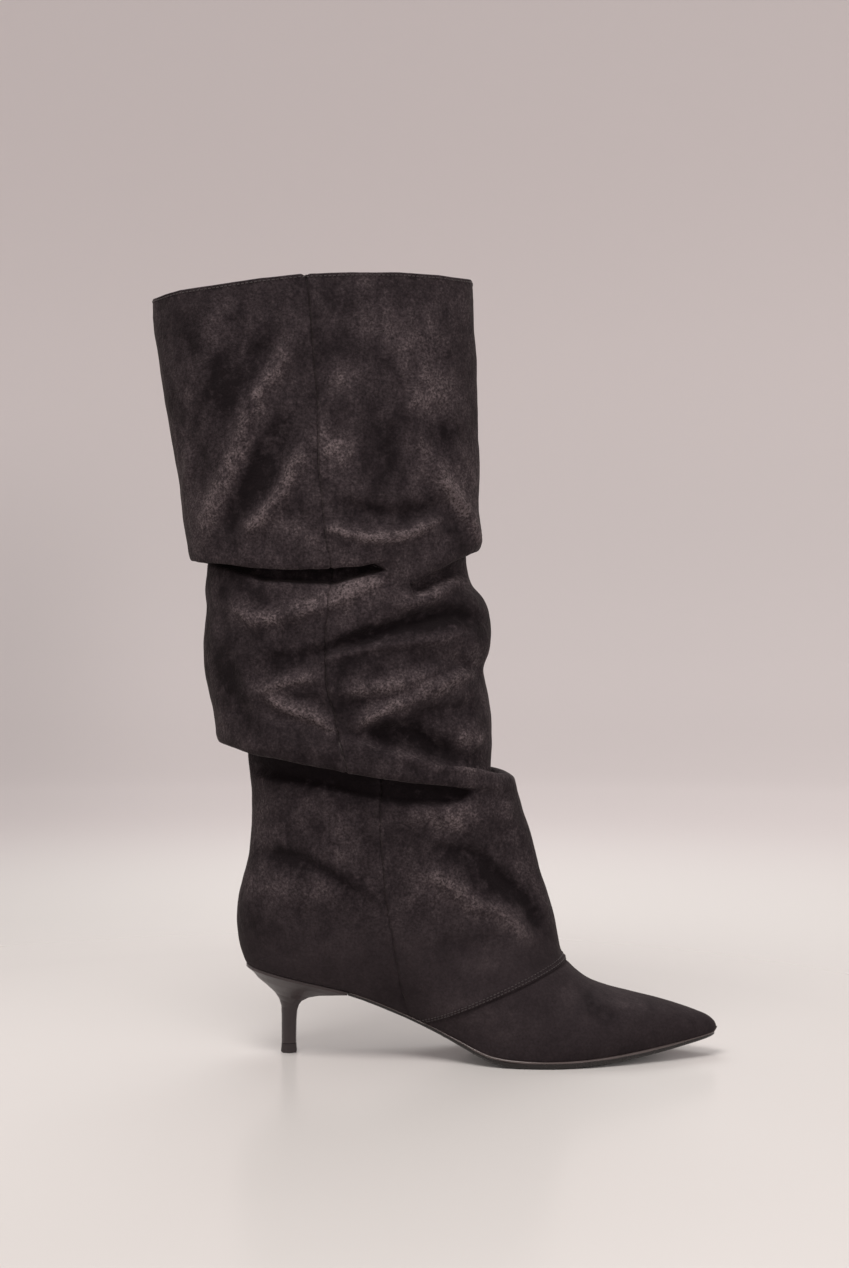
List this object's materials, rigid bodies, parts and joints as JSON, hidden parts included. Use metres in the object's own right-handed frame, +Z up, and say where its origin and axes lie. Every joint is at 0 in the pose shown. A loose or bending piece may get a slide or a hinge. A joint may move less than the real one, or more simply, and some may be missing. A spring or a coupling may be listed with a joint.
{
  "type": "slouch boot",
  "caption": "Tall pull-on slouch boot in dark suede with a pointed toe, a kitten heel and a wide leg that hangs in two deep folds.",
  "frame": {"origin": "centre of the heel tip's face on the floor", "axes": "+Z up, +X towards the toe, -Y towards the outer side of the foot"},
  "size_m": [0.3118, 0.0942, 0.426],
  "materials": {
    "suede": "matt napped suede, lined",
    "outsole": "smooth, polished edge",
    "insole": "smooth lining leather",
    "heel": "satin leather cover",
    "heel_tip": "hard satin rubber"
  },
  "bodies": {
    "root": {"upper": "suede", "outsole": "outsole", "insole": "insole", "heel": "heel", "heel_tip": "heel_tip"}
  },
  "joints": []
}
